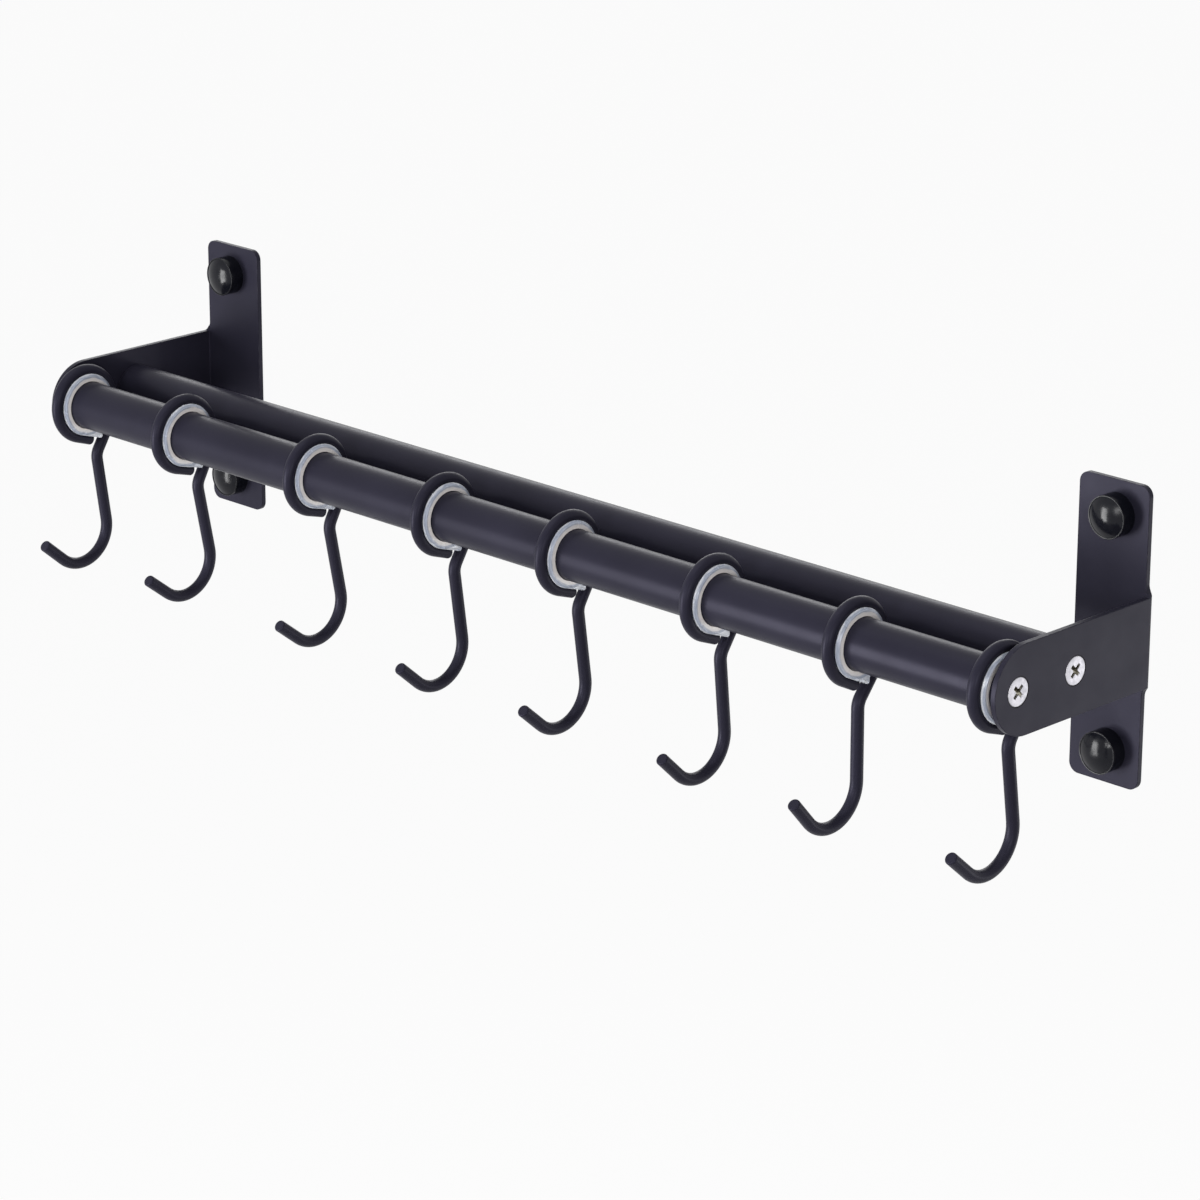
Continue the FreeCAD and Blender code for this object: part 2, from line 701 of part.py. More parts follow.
def make_cap(label, x, z):
    """A moulded cup with a shallow domed end."""
    body = new_body(label, x=x, y="-sheet_thickness", z=z)
    section = new_sketch(body, "section", "XY_Plane")
    radius = size("cap_radius")
    side = size("cap_side")
    dome = size("dome_radius")
    top = side + size("cap_dome")
    wall = radius - size("cap_wall")
    rim_angle = -math.degrees(math.acos(radius / dome))
    outer = add_line(section, (radius, 0), (radius, -side))
    crown = add_arc(section, (0, dome - top), dome, -90, rim_angle)
    axis = add_line(section, (0, -top), (0, -side))
    ceiling = add_line(section, (0, -side), (wall, -side))
    inner = add_line(section, (wall, -side), (wall, 0))
    foot = add_line(section, (wall, 0), (radius, 0))
    join(section, "Coincident", [
        (outer, 2, crown, 2),
        (crown, 1, axis, 1),
        (axis, 2, ceiling, 1),
        (ceiling, 2, inner, 1),
        (inner, 2, foot, 1),
        (foot, 2, outer, 1),
    ])
    pin(section, crown, 3, u="0")
    pin(section, crown, 1, "0", "-cap_side - cap_dome")
    pin(section, outer, 1, "cap_radius", "0")
    pin(section, outer, 2, "cap_radius", "-cap_side")
    pin(section, ceiling, 1, "0", "-cap_side")
    pin(section, inner, 1, "cap_radius - cap_wall", "-cap_side")
    pin(section, inner, 2, "cap_radius - cap_wall", "0")
    add_turned(body, "cap", "Revolution", section, "V_Axis")
    add_fillet(body, "rim", "cap_rim_round", lambda edge: is_circle(edge, radius)
               and abs(edge.Curve.Center.y + side) < 1e-3)
    return body


def make_base(label, x, z):
    """The snap base under a cap: a washer with a raised rim."""
    body = new_body(label, x=x, y="-sheet_thickness", z=z)
    section = new_sketch(body, "section", "XY_Plane")
    add_polygon(section, [
        ("wall_hole / 2", "0"),
        ("base_radius", "0"),
        ("base_radius", "-base_height"),
        ("base_radius - base_rim", "-base_height"),
        ("base_radius - base_rim", "-base_floor"),
        ("wall_hole / 2", "-base_floor"),
    ])
    add_turned(body, "base", "Revolution", section, "V_Axis")
    return body


# The whole rail

parts = [
    make_bracket("left_bracket", "-"),
    make_bracket("right_bracket", "+"),
    make_rod("front_rod", "front_rod_reach"),
    make_rod("rear_rod", "rear_rod_reach"),
]
for end, sign in (("left", "-"), ("right", "+")):
    for rod in ("front", "rear"):
        parts.append(make_plug("%s_%s_plug" % (end, rod), sign, rod + "_rod_reach"))
        parts.append(make_screw("%s_%s_screw" % (end, rod), sign, rod + "_rod_reach"))
    for level, rise in (("top", "hole_rise"), ("bottom", "-hole_rise")):
        parts.append(make_base("%s_%s_cap_base" % (end, level), sign + "hole_place", rise))
        parts.append(make_cap("%s_%s_cap" % (end, level), sign + "hole_place", rise))
for number in range(1, 9):
    place = "hook_travel * (hook_%d_share - 0.5)" % number
    hang = "hook_%d_angle" % number
    parts.append(make_liner("liner_%d" % number, place, hang))
    parts.append(make_hook("hook_%d" % number, place, hang))
doc.recompute()

for item in doc.Objects:
    if "Invalid" in item.State or "Error" in item.State:
        raise RuntimeError(item.Name + " failed: " + str(item.State))
for body in parts:
    if body.Shape.isNull() or not body.Shape.isValid() or len(body.Shape.Solids) != 1:
        raise RuntimeError(body.Label + " isn't one valid solid")

os.makedirs("parts", exist_ok=True)
for body in parts:
    body.Shape.exportStep("parts/" + body.Label + ".step")
print("%d sub-parts written" % len(parts))
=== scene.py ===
import json
import math

import bmesh
import bpy
from mathutils import Matrix, Vector


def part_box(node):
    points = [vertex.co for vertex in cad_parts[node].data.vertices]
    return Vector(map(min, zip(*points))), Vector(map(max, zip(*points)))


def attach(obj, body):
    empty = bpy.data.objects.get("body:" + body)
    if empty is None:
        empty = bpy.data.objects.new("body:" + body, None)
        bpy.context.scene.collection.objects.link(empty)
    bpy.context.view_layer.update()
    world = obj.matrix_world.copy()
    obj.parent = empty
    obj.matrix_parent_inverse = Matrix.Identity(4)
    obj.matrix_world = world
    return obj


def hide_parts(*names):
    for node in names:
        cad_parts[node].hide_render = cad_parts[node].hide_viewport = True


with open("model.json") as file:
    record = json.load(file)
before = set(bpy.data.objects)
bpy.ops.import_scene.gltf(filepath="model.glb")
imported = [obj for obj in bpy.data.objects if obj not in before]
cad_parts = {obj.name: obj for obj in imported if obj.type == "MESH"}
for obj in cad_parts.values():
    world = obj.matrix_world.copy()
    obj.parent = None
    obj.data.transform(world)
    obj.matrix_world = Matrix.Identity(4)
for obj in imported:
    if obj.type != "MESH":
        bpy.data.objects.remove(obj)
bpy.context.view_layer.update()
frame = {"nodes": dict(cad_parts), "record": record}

NODES = frame["nodes"]

# Camera, fitted to the photograph: place in metres, angles in degrees.
CAMERA_PLACE = Vector((1.02676, -1.06117, 0.45685))
CAMERA_AZIMUTH = 44.54
CAMERA_ELEVATION = 18.57
CAMERA_ROLL = 0.18
SENSOR_WIDTH = 36.0
LENS = 135.82

# Studio
FLOOR_LEVEL = -0.95
FLOOR_SIZE = 30.0
FLOOR_GLOW = 0.94
WORLD_LIGHT = 0.30

# Colours, linear
COAT_DARK = (0.0145, 0.0138, 0.0225)
COAT_LIGHT = (0.0185, 0.0176, 0.0285)
# Light edge colour: partly rubbed wear, partly painted highlight lines along the edges
COAT_EDGE_WEAR_AND_HIGHLIGHT = (0.085, 0.083, 0.10)
# Near-black painted shade for the gap round each screw head
COAT_PAINTED_SHADE = (0.001, 0.001, 0.001)

# Painted shade round a screw head, in the gap between head and arm: full up to the first distance from its
# axis, none after the second, in metres
SCREW_SHADE_FULL = 0.0049
SCREW_SHADE_END = 0.0052

# Painted shade in a screw's recess, dark and brown: none down to the first depth under the arm's face, full
# from the second, in metres
RECESS_SHADE_START = 0.00012
RECESS_SHADE_FULL = 0.00045

# A liner's colour, partly its own tone and partly painted shade and light, runs from its floor to its lip
# between these radii, in metres
LINER_FLOOR = 0.0088
LINER_LIP = 0.0114

# Places on the rail, in metres
ROD_REACH = {"front": 0.0649, "rear": 0.0378}
ARM_OUTER = 0.222
PLATE_FACE = 0.0018

# Cap, in metres: its side, the foot of the side and the top of the dome
CAP_RADIUS = 0.0070
CAP_SIDE = 0.0055
CAP_FOOT = 0.0008
CAP_TOP = 0.0071
CAP_WALL = 0.0012
# The roundness of its lip, then how far in from the side and down from the lip each place lies
CAP_LIP = 0.00020
CAP_LIP_END = (0.00036, 0.00002)
CAP_GROOVE = (0.00048, 0.00014)
CAP_DOME = (0.00056, 0.00010)

# Screw, in millimetres
HEAD_RADIUS = 4.62
SHANK_RADIUS = 2.5
SHANK_CHAMFER = 0.1
SCREW_LENGTH = 14.0
# The rounded rim of the head: how far in from the rim, and how deep
HEAD_RIM = ((0.3, 0.0), (0.1, 0.04), (0.0, 0.14))
# The cross recess: depth, reach of a wing and half its width at each level
RECESS = ((-0.5, 2.80, 0.74), (0.30, 2.45, 0.62), (1.20, 1.60, 0.48), (1.90, 0.85, 0.34))
RECESS_CORNER = 0.22
RECESS_TURN = 45

# Burr on the front side of each screw head, in metres
BURR_HALF = 0.0005
BURR_REACH = 0.00035
BURR_LIFT = 0.00006
BURR_FROM = 0.004
BURR_DEPTH = 0.0001

# Moulding nibs: for each liner, the angles in degrees about the rod; then their form, in metres
NIBS = {1: (128,), 2: (128, 97), 3: (130,), 4: (127,), 5: (124,)}
NIB_FOOT = 0.01115
NIB_SETBACK = 0.0010
NIB_HALF_LENGTH = 0.00042
NIB_HALF_WIDTH = 0.00036
NIB_LEVELS = ((1.0, 0.0), (0.75, 0.00022), (0.30, 0.00042))
NIB_SIDES = 12

# Lamps: name, place, target, width and height in metres, power in watts
LAMPS = (
    ("top_softbox", (0.0, -0.3, 1.5), (0.0, -0.05, 0.0), 1.6, 1.0, 9.0),
    ("left_softbox", (-0.72, -1.45, -0.18), (0.15, -0.05, 0.0), 0.50, 0.94, 25.5),
    ("front_softbox", (0.34, -1.5, 0.32), (0.1, -0.05, 0.0), 0.30, 0.34, 5.0),
    ("right_softbox", (1.22, 1.45, -0.65), (0.2, -0.05, 0.0), 0.5, 0.5, 3.2),
    ("side_softbox", (1.15, -0.75, 0.25), (0.0, -0.05, 0.0), 0.4, 0.4, 4.0),
    ("back_softbox", (-1.0, 1.15, 0.45), (0.0, -0.05, 0.0), 1.2, 0.3, 3.8),
)


# Shader helpers


def new_material(name):
    material = bpy.data.materials.new(name)
    material.use_nodes = True
    tree = material.node_tree
    shader = tree.nodes["Principled BSDF"]
    return material, tree, shader


def object_place(tree):
    return tree.nodes.new("ShaderNodeTexCoord").outputs["Object"]


def noise(tree, scale, detail=3.0, rough=0.5):
    node = tree.nodes.new("ShaderNodeTexNoise")
    node.inputs["Scale"].default_value = scale
    node.inputs["Detail"].default_value = detail
    node.inputs["Roughness"].default_value = rough
    tree.links.new(object_place(tree), node.inputs["Vector"])
    return node.outputs["Fac"]


def spread(tree, value, low, high, start=0.3, end=0.7):
    """The value mapped from start..end to low..high."""
    node = tree.nodes.new("ShaderNodeMapRange")
    node.inputs["From Min"].default_value = start
    node.inputs["From Max"].default_value = end
    node.inputs["To Min"].default_value = low
    node.inputs["To Max"].default_value = high
    tree.links.new(value, node.inputs["Value"])
    return node.outputs["Result"]


def colour_ramp(tree, value, stops):
    """A colour by value; each stop is a position and a colour."""
    ramp = tree.nodes.new("ShaderNodeValToRGB")
    elements = ramp.color_ramp.elements
    while len(elements) < len(stops):
        elements.new(0.5)
    for element, (position, colour) in zip(elements, stops):
        element.position = position
        element.color = (*colour, 1.0)
    tree.links.new(value, ramp.inputs["Fac"])
    return ramp.outputs["Color"]


def two_colours(tree, value, dark, light, start=0.35, end=0.65):
    return colour_ramp(tree, value, [(start, dark), (end, light)])


def mixed(tree, share, first, second):
    node = tree.nodes.new("ShaderNodeMix")
    node.data_type = "RGBA"
    tree.links.new(share, node.inputs["Factor"])
    for socket, colour in ((node.inputs["A"], first), (node.inputs["B"], second)):
        if isinstance(colour, tuple):
            socket.default_value = (*colour, 1.0)
        else:
            tree.links.new(colour, socket)
    return node.outputs["Result"]


def maths(tree, operation, first, second=None):
    node = tree.nodes.new("ShaderNodeMath")
    node.operation = operation
    for socket, value in zip(node.inputs, (first, second)):
        if value is None:
            continue
        if isinstance(value, float):
            socket.default_value = value
        else:
            tree.links.new(value, socket)
    return node.outputs[0]


def rod_distance(tree, rod):
    """The distance from the axis of a rod, in metres."""
    split = tree.nodes.new("ShaderNodeSeparateXYZ")
    tree.links.new(object_place(tree), split.inputs["Vector"])
    out = maths(tree, "ADD", split.outputs["Y"], ROD_REACH[rod])
    up = split.outputs["Z"]
    squares = maths(tree, "ADD", maths(tree, "MULTIPLY", out, out), maths(tree, "MULTIPLY", up, up))
    return maths(tree, "SQRT", squares)


def bump(tree, height, strength, distance, before=None):
    node = tree.nodes.new("ShaderNodeBump")
    node.inputs["Strength"].default_value = strength
    node.inputs["Distance"].default_value = distance
    tree.links.new(height, node.inputs["Height"])
    if before is not None:
        tree.links.new(before, node.inputs["Normal"])
    return node.outputs["Normal"]


def rounded(tree, radius):
    """The normal with every edge rounded, and a mask that is 1 on the edges."""
    bevel = tree.nodes.new("ShaderNodeBevel")
    bevel.samples = 6
    bevel.inputs["Radius"].default_value = radius
    flat = tree.nodes.new("ShaderNodeNewGeometry").outputs["Normal"]
    dot = tree.nodes.new("ShaderNodeVectorMath")
    dot.operation = "DOT_PRODUCT"
    tree.links.new(bevel.outputs["Normal"], dot.inputs[0])
    tree.links.new(flat, dot.inputs[1])
    mask = spread(tree, dot.outputs["Value"], 1.0, 0.0, start=0.78, end=0.985)
    return bevel.outputs["Normal"], mask


# Materials


def powder_coat(name, rough_low, rough_high, grain, edge_radius, edge_wear_and_highlight, screw_shade=False):
    """Satin black coat: orange peel, slight cloudiness, softly varied gloss, and edges lightened in patches,
    partly as rubbed wear and partly as painted highlight lines.

    When switched on, shade is painted as a dark ring into the gap round each screw head.
    """
    material, tree, shader = new_material(name)
    cloud = two_colours(tree, noise(tree, 26.0, detail=4.0), COAT_DARK, COAT_LIGHT)
    normal, edge = rounded(tree, edge_radius)
    # Edges lightened in patches: partly rubbed wear, partly painted highlight lines
    patches = spread(tree, noise(tree, 420.0, detail=4.0), 0.0, edge_wear_and_highlight, start=0.42, end=0.72)
    rubbed_and_highlit = maths(tree, "MULTIPLY", edge, patches)
    colour = mixed(tree, rubbed_and_highlit, cloud, COAT_EDGE_WEAR_AND_HIGHLIGHT)
    if screw_shade:
        # Painted shade: a dark ring in the gap round each screw head
        nearest = maths(tree, "MINIMUM", rod_distance(tree, "front"), rod_distance(tree, "rear"))
        screw_shade_ring = spread(tree, nearest, 1.0, 0.0, start=SCREW_SHADE_FULL, end=SCREW_SHADE_END)
        colour = mixed(tree, screw_shade_ring, colour, COAT_PAINTED_SHADE)
    tree.links.new(colour, shader.inputs["Base Color"])
    gloss = spread(tree, noise(tree, 110.0, detail=5.0), rough_low, rough_high, 0.25, 0.75)
    tree.links.new(gloss, shader.inputs["Roughness"])
    peel = bump(tree, noise(tree, grain, detail=2.0), 0.06, 0.00010, before=normal)
    fine = bump(tree, noise(tree, grain * 4.0, detail=2.0), 0.05, 0.00005, before=peel)
    tree.links.new(fine, shader.inputs["Normal"])
    shader.inputs["Specular IOR Level"].default_value = 0.11
    shader.inputs["Specular Tint"].default_value = (0.76, 0.73, 1.0, 1.0)
    return material


def zinc(name):
    """Bright zinc, with fine turning marks; the sunk parts are painted dark and brown as shade, with lighter
    specks.
    """
    material, tree, shader = new_material(name)
    shader.inputs["Metallic"].default_value = 1.0
    split = tree.nodes.new("ShaderNodeSeparateXYZ")
    tree.links.new(object_place(tree), split.inputs["Vector"])
    reach = maths(tree, "ABSOLUTE", split.outputs["X"])
    # The recess is painted dark and brown as shade below the arm's face
    recess_shade = spread(tree, reach, 1.0, 0.0, start=ARM_OUTER - RECESS_SHADE_FULL, end=ARM_OUTER - RECESS_SHADE_START)
    bright = two_colours(tree, noise(tree, 300.0), (0.44, 0.435, 0.47), (0.56, 0.55, 0.59))
    specks = noise(tree, 1400.0, detail=4.0)
    recess_shade_colour = two_colours(tree, specks, (0.11, 0.10, 0.075), (0.42, 0.40, 0.34), 0.42, 0.64)
    tree.links.new(mixed(tree, recess_shade, bright, recess_shade_colour), shader.inputs["Base Color"])
    tree.links.new(spread(tree, noise(tree, 900.0), 0.42, 0.56), shader.inputs["Roughness"])
    tree.links.new(bump(tree, noise(tree, 2200.0), 0.15, 0.00006), shader.inputs["Normal"])
    return material


def clear_plastic(name):
    """Soft clear plastic: milky where it is thick at the rod and clearer at its thin lip. Its colour is its
    own warm white near the rod, then a darker bluish band whose darkness is painted shade, then painted light
    on the lip's outer edge.
    """
    material, tree, shader = new_material(name)
    radius = rod_distance(tree, "front")
    waver = spread(tree, noise(tree, 160.0), -0.12, 0.12)
    outward = spread(tree, radius, 0.0, 1.0, start=LINER_FLOOR, end=LINER_LIP)
    depth = maths(tree, "ADD", outward, waver)
    # Own warm white near the rod, a bluish band darkened as painted shade, painted light at the lip's outer
    # edge
    tint = colour_ramp(tree, depth, [
        (0.10, (0.92, 0.87, 0.84)),
        (0.45, (0.84, 0.81, 0.81)),
        (0.62, (0.50, 0.54, 0.64)),
        (0.86, (0.42, 0.47, 0.59)),
        (1.00, (0.86, 0.89, 0.96)),
    ])
    tree.links.new(tint, shader.inputs["Base Color"])
    tree.links.new(spread(tree, noise(tree, 200.0), 0.16, 0.30), shader.inputs["Roughness"])
    clear = spread(tree, depth, 0.05, 0.30, start=0.45, end=0.80)
    tree.links.new(clear, shader.inputs["Transmission Weight"])
    tree.links.new(bump(tree, noise(tree, 420.0), 0.12, 0.00015), shader.inputs["Normal"])
    shader.inputs["IOR"].default_value = 1.46
    shader.inputs["Subsurface Weight"].default_value = 0.15
    shader.inputs["Subsurface Radius"].default_value = (0.001, 0.001, 0.001)
    return material


def gloss_plastic(name):
    """Black moulded plastic with a polished skin and a few fine scuffs."""
    material, tree, shader = new_material(name)
    tint = two_colours(tree, noise(tree, 120.0), (0.0038, 0.0041, 0.0068), (0.0065, 0.0068, 0.0100))
    tree.links.new(tint, shader.inputs["Base Color"])
    scuffs = noise(tree, 350.0, detail=5.0)
    tree.links.new(spread(tree, scuffs, 0.13, 0.26, 0.4, 0.7), shader.inputs["Roughness"])
    tree.links.new(bump(tree, noise(tree, 420.0), 0.04, 0.0001), shader.inputs["Normal"])
    shader.inputs["Specular IOR Level"].default_value = 0.18
    return material


def plain_plastic(name):
    material, tree, shader = new_material(name)
    tint = two_colours(tree, noise(tree, 150.0), (0.022, 0.022, 0.024), (0.032, 0.032, 0.034))
    tree.links.new(tint, shader.inputs["Base Color"])
    tree.links.new(spread(tree, noise(tree, 400.0), 0.45, 0.6), shader.inputs["Roughness"])
    tree.links.new(bump(tree, noise(tree, 1200.0), 0.1, 0.0001), shader.inputs["Normal"])
    return material


def plain_steel(name):
    material, tree, shader = new_material(name)
    shader.inputs["Metallic"].default_value = 1.0
    tint = two_colours(tree, noise(tree, 200.0), (0.42, 0.42, 0.44), (0.55, 0.55, 0.56))
    tree.links.new(tint, shader.inputs["Base Color"])
    tree.links.new(spread(tree, noise(tree, 500.0), 0.35, 0.5), shader.inputs["Roughness"])
    tree.links.new(bump(tree, noise(tree, 1500.0), 0.12, 0.0001), shader.inputs["Normal"])
    return material


MATERIALS = {
    "bracket_coat": powder_coat("bracket_coat", 0.36, 0.43, 1500.0, 0.0004, 0.85, screw_shade=True),
    "rod_coat": powder_coat("rod_coat", 0.32, 0.39, 1700.0, 0.0003, 0.85),
    "hook_coat": powder_coat("hook_coat", 0.34, 0.43, 2200.0, 0.0003, 1.5),
    "zinc_screw": zinc("zinc_screw"),
    "plug_steel": plain_steel("plug_steel"),
    "clear_plastic": clear_plastic("clear_plastic"),
    "cap_plastic": gloss_plastic("cap_plastic"),
    "base_plastic": plain_plastic("base_plastic"),
}
for entry in frame["record"]["subparts"]:
    piece = NODES[entry["node"]]
    piece.data.materials.clear()
    piece.data.materials.append(MATERIALS[entry["material_slot"]])


# Mesh helpers


def arc_points(centre, radius, start, end, count):
    """Points on an arc between two angles in degrees, both ends included."""
    points = []
    for i in range(count + 1):
        angle = math.radians(start + (end - start) * i / count)
        points.append((centre[0] + radius * math.cos(angle), centre[1] + radius * math.sin(angle)))
    return points


def turned_mesh(profile, segments, place):
    """A closed turned form.

    The profile holds pairs of radius and depth, and place(depth, u, v) gives the point.
    """
    mesh = bmesh.new()
    rings = []
    for radius, depth in profile:
        if radius < 1e-7:
            rings.append([mesh.verts.new(place(depth, 0.0, 0.0))])
            continue
        ring = []
        for i in range(segments):
            angle = 2 * math.pi * i / segments
            u, v = radius * math.cos(angle), radius * math.sin(angle)
            ring.append(mesh.verts.new(place(depth, u, v)))
        rings.append(ring)
    for first, second in zip(rings, rings[1:] + rings[:1]):
        for i in range(segments):
            j = (i + 1) % segments
            if len(first) == 1 and len(second) == 1:
                break
            if len(first) == 1:
                mesh.faces.new((first[0], second[i], second[j]))
            elif len(second) == 1:
                mesh.faces.new((first[i], first[j], second[0]))
            else:
                mesh.faces.new((first[i], first[j], second[j], second[i]))
    bmesh.ops.recalc_face_normals(mesh, faces=mesh.faces[:])
    return mesh


def new_piece(name, mesh, body, slot, smooth_angle=30.0):
    """An object from the mesh that rides on the body and has the slot's material."""
    data = bpy.data.meshes.new(name)
    mesh.to_mesh(data)
    mesh.free()
    data.shade_smooth()
    data.set_sharp_from_angle(angle=math.radians(smooth_angle))
    data.materials.append(MATERIALS[slot])
    piece = bpy.data.objects.new(name, data)
    bpy.context.scene.collection.objects.link(piece)
    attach(piece, body)
    return piece


# Caps


def cap_profile():
    """Half section of a cap: straight side, fine lip, shallow groove and dome, hollow behind."""
    dome_edge = CAP_RADIUS - CAP_DOME[0]
    rise = CAP_TOP - (CAP_SIDE - CAP_DOME[1])
    dome_radius = (dome_edge ** 2 + rise ** 2) / (2 * rise)
    edge_angle = math.degrees(math.acos(dome_edge / dome_radius))
    inner = CAP_RADIUS - CAP_WALL
    profile = [(CAP_RADIUS, 0.0), (CAP_RADIUS, CAP_FOOT), (CAP_RADIUS, CAP_SIDE - CAP_LIP)]
    profile += arc_points((CAP_RADIUS - CAP_LIP, CAP_SIDE - CAP_LIP), CAP_LIP, 8, 90, 6)
    profile += [(CAP_RADIUS - inward, CAP_SIDE - down) for inward, down in (CAP_LIP_END, CAP_GROOVE)]
    profile += arc_points((0.0, CAP_TOP - dome_radius), dome_radius, edge_angle, 90, 18)[:-1]
    profile += [(0.0, CAP_TOP), (0.0, CAP_SIDE), (inner, CAP_SIDE), (inner, 0.0)]
    return profile


def add_caps():
    profile = cap_profile()
    for end in ("left", "right"):
        for level in ("top", "bottom"):
            node = "%s_%s_cap" % (end, level)
            low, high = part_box(node)
            x = (low.x + high.x) / 2
            z = (low.z + high.z) / 2
            mesh = turned_mesh(profile, 96, lambda depth, u, v: (x + u, -PLATE_FACE - depth, z + v))
            cap = new_piece(node + "_shell", mesh, "frame", "cap_plastic")
            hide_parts(node)


# Screws


def screw_profile():
    rim_depth = HEAD_RIM[-1][1]
    profile = [(0.0, 0.0)]
    profile += [(HEAD_RADIUS - inward, depth) for inward, depth in HEAD_RIM]
    profile += [
        (SHANK_RADIUS, HEAD_RADIUS - SHANK_RADIUS + rim_depth),
        (SHANK_RADIUS, SCREW_LENGTH - SHANK_CHAMFER),
        (SHANK_RADIUS - SHANK_CHAMFER, SCREW_LENGTH),
        (0.0, SCREW_LENGTH),
    ]
    return profile


def plain_object(name, mesh):
    data = bpy.data.meshes.new(name)
    mesh.to_mesh(data)
    mesh.free()
    thing = bpy.data.objects.new(name, data)
    bpy.context.scene.collection.objects.link(thing)
    return thing


def recess_tool():
    """A tapered cross of four wings, turned away from upright."""
    mesh = bmesh.new()
    rings = []
    for depth, reach, half in RECESS:
        ring = []
        for quarter in range(4):
            angle = math.radians(RECESS_TURN + 90 * quarter)
            corner = half + RECESS_CORNER
            for along, aside in ((reach, -half), (reach, half), (corner, half), (half, corner)):
                u = along * math.cos(angle) - aside * math.sin(angle)
                v = along * math.sin(angle) + aside * math.cos(angle)
                ring.append(mesh.verts.new((depth, u, v)))
        rings.append(ring)
    for first, second in zip(rings, rings[1:]):
        for i in range(len(first)):
            j = (i + 1) % len(first)
            mesh.faces.new((first[i], first[j], second[j], second[i]))
    mesh.faces.new(rings[0])
    mesh.faces.new(rings[-1])
    bmesh.ops.recalc_face_normals(mesh, faces=mesh.faces[:])
    bmesh.ops.triangulate(mesh, faces=mesh.faces[:])
    return plain_object("recess", mesh)


def screw_shape():
    """The screw with its recess, along X from its head at zero, in millimetres."""
    screw = plain_object("screw", turned_mesh(screw_profile(), 72, lambda depth, u, v: (depth, u, v)))
    tool = recess_tool()
    cut = screw.modifiers.new("recess", "BOOLEAN")
    cut.operation = "DIFFERENCE"
    cut.solver = "EXACT"
    cut.object = tool
    bpy.context.view_layer.update()
    data = bpy.data.meshes.new_from_object(screw.evaluated_get(bpy.context.evaluated_depsgraph_get()))
    for thing in (screw, tool):
        bpy.data.objects.remove(thing)
    return data


def add_screws():
    shape = screw_shape()
    for end, side in (("left", -1.0), ("right", 1.0)):
        for rod, reach in ROD_REACH.items():
            node = "%s_%s_screw" % (end, rod)
            mesh = bmesh.new()
            mesh.from_mesh(shape)
            for vert in mesh.verts:
                depth, u, v = vert.co / 1000
                at_rim = depth < BURR_DEPTH and math.hypot(u, v) > BURR_FROM
                if at_rim and u < 0 and abs(v) < BURR_HALF:
                    u -= BURR_REACH
                    depth -= BURR_LIFT
                vert.co = (side * (ARM_OUTER - depth), u - reach, v)
            bmesh.ops.recalc_face_normals(mesh, faces=mesh.faces[:])
            screw = new_piece(node + "_turned", mesh, "frame", "zinc_screw", 25.0)
            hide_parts(node)


# Moulding nibs on the liners


def nib_mesh(foot, out, along):
    """A low blunt cone that stands on its foot, with an oval section."""
    mesh = bmesh.new()
    across = Vector((1.0, 0.0, 0.0))
    rings = []
    for share, lift in NIB_LEVELS:
        ring = []
        for i in range(NIB_SIDES):
            turn = 2 * math.pi * i / NIB_SIDES
            length = NIB_HALF_LENGTH * share * math.cos(turn)
            width = NIB_HALF_WIDTH * share * math.sin(turn)
            ring.append(mesh.verts.new(foot + out * lift + along * length + across * width))
        rings.append(ring)
    for first, second in zip(rings, rings[1:]):
        for i in range(NIB_SIDES):
            j = (i + 1) % NIB_SIDES
            mesh.faces.new((first[i], first[j], second[j], second[i]))
    mesh.faces.new(rings[0])
    mesh.faces.new(rings[-1])
    bmesh.ops.recalc_face_normals(mesh, faces=mesh.faces[:])
    return mesh


def add_nibs():
    """Small raised points that the moulding left on the lips of some liners."""
    for number, angles in NIBS.items():
        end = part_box("liner_%d" % number)[1].x
        for index, degrees in enumerate(angles, start=1):
            angle = math.radians(degrees)
            out = Vector((0.0, math.cos(angle), math.sin(angle)))
            along = Vector((0.0, -math.sin(angle), math.cos(angle)))
            foot = Vector((end - NIB_SETBACK, -ROD_REACH["front"], 0.0)) + out * NIB_FOOT
            name = "liner_%d_nib_%d" % (number, index)
            new_piece(name, nib_mesh(foot, out, along), "slider_%d" % number, "clear_plastic", 60.0)


# Floor, world and lamps


def seen_directly(tree):
    """1 for what is seen directly, reflected or through glass, and 0 for light that falls on things."""
    path = tree.nodes.new("ShaderNodeLightPath")
    seen = maths(tree, "MAXIMUM", path.outputs["Is Camera Ray"], path.outputs["Is Glossy Ray"])
    return maths(tree, "MAXIMUM", seen, path.outputs["Is Transmission Ray"])


def make_floor():
    half = FLOOR_SIZE / 2
    mesh = bpy.data.meshes.new("floor")
    corners = [(-half, -half, 0), (half, -half, 0), (half, half, 0), (-half, half, 0)]
    mesh.from_pydata(corners, [], [(0, 1, 2, 3)])
    floor = bpy.data.objects.new("floor", mesh)
    floor.location.z = FLOOR_LEVEL
    bpy.context.scene.collection.objects.link(floor)
    material, tree, shader = new_material("floor_white")
    shader.inputs["Base Color"].default_value = (0.92, 0.92, 0.92, 1.0)
    shader.inputs["Roughness"].default_value = 0.9
    glow = tree.nodes.new("ShaderNodeEmission")
    glow.inputs["Color"].default_value = (1.0, 1.0, 1.0, 1.0)
    share = maths(tree, "MULTIPLY", seen_directly(tree), FLOOR_GLOW)
    mix = tree.nodes.new("ShaderNodeMixShader")
    tree.links.new(share, mix.inputs["Fac"])
    tree.links.new(shader.outputs["BSDF"], mix.inputs[1])
    tree.links.new(glow.outputs["Emission"], mix.inputs[2])
    tree.links.new(mix.outputs["Shader"], tree.nodes["Material Output"].inputs["Surface"])
    mesh.materials.append(material)


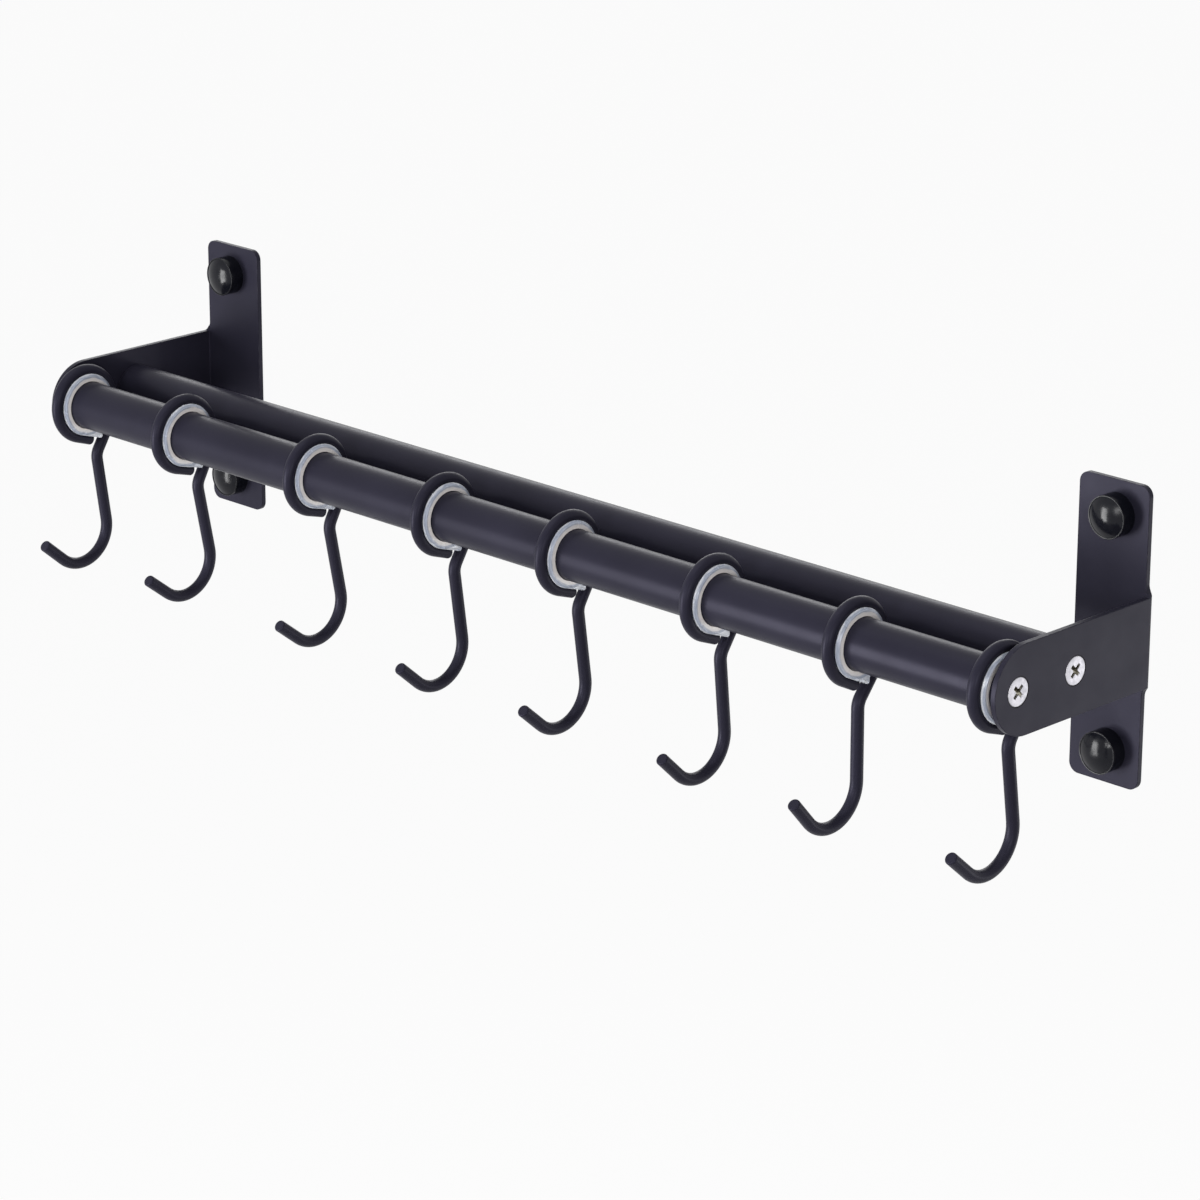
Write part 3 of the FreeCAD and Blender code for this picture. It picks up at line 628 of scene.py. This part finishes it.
def make_world():
    world = bpy.data.worlds.new("studio")
    bpy.context.scene.world = world
    world.use_nodes = True
    tree = world.node_tree
    light = tree.nodes["Background"]
    light.inputs["Color"].default_value = (1.0, 1.0, 1.0, 1.0)
    light.inputs["Strength"].default_value = WORLD_LIGHT
    seen = tree.nodes.new("ShaderNodeBackground")
    seen.inputs["Color"].default_value = (1.0, 1.0, 1.0, 1.0)
    seen.inputs["Strength"].default_value = 1.0
    mix = tree.nodes.new("ShaderNodeMixShader")
    tree.links.new(seen_directly(tree), mix.inputs["Fac"])
    tree.links.new(light.outputs["Background"], mix.inputs[1])
    tree.links.new(seen.outputs["Background"], mix.inputs[2])
    tree.links.new(mix.outputs["Shader"], tree.nodes["World Output"].inputs["Surface"])


def add_lamp(name, place, target, width, height, power):
    data = bpy.data.lights.new(name, "AREA")
    data.shape = "RECTANGLE"
    data.size = width
    data.size_y = height
    data.energy = power
    lamp = bpy.data.objects.new(name, data)
    lamp.location = place
    lamp.rotation_mode = "QUATERNION"
    lamp.rotation_quaternion = (Vector(target) - Vector(place)).to_track_quat("-Z", "Y")
    lamp.visible_camera = False
    bpy.context.scene.collection.objects.link(lamp)


def add_camera():
    azimuth = math.radians(CAMERA_AZIMUTH)
    elevation = math.radians(CAMERA_ELEVATION)
    roll = math.radians(CAMERA_ROLL)
    back = Vector((
        math.sin(azimuth) * math.cos(elevation),
        -math.cos(azimuth) * math.cos(elevation),
        math.sin(elevation),
    ))
    level = (-back).cross(Vector((0.0, 0.0, 1.0))).normalized()
    upright = level.cross(-back)
    right = math.cos(roll) * level + math.sin(roll) * upright
    up = math.cos(roll) * upright - math.sin(roll) * level
    data = bpy.data.cameras.new("camera")
    data.sensor_width = SENSOR_WIDTH
    data.lens = LENS
    data.clip_start = 0.05
    data.clip_end = 60.0
    camera = bpy.data.objects.new("camera", data)
    camera.rotation_mode = "QUATERNION"
    camera.rotation_quaternion = Matrix((right, up, back)).transposed().to_quaternion()
    camera.location = CAMERA_PLACE
    bpy.context.scene.collection.objects.link(camera)
    bpy.context.scene.camera = camera


add_caps()
add_screws()
add_nibs()
make_floor()
make_world()
for lamp in LAMPS:
    add_lamp(*lamp)
add_camera()
bpy.context.scene.view_settings.view_transform = "Standard"
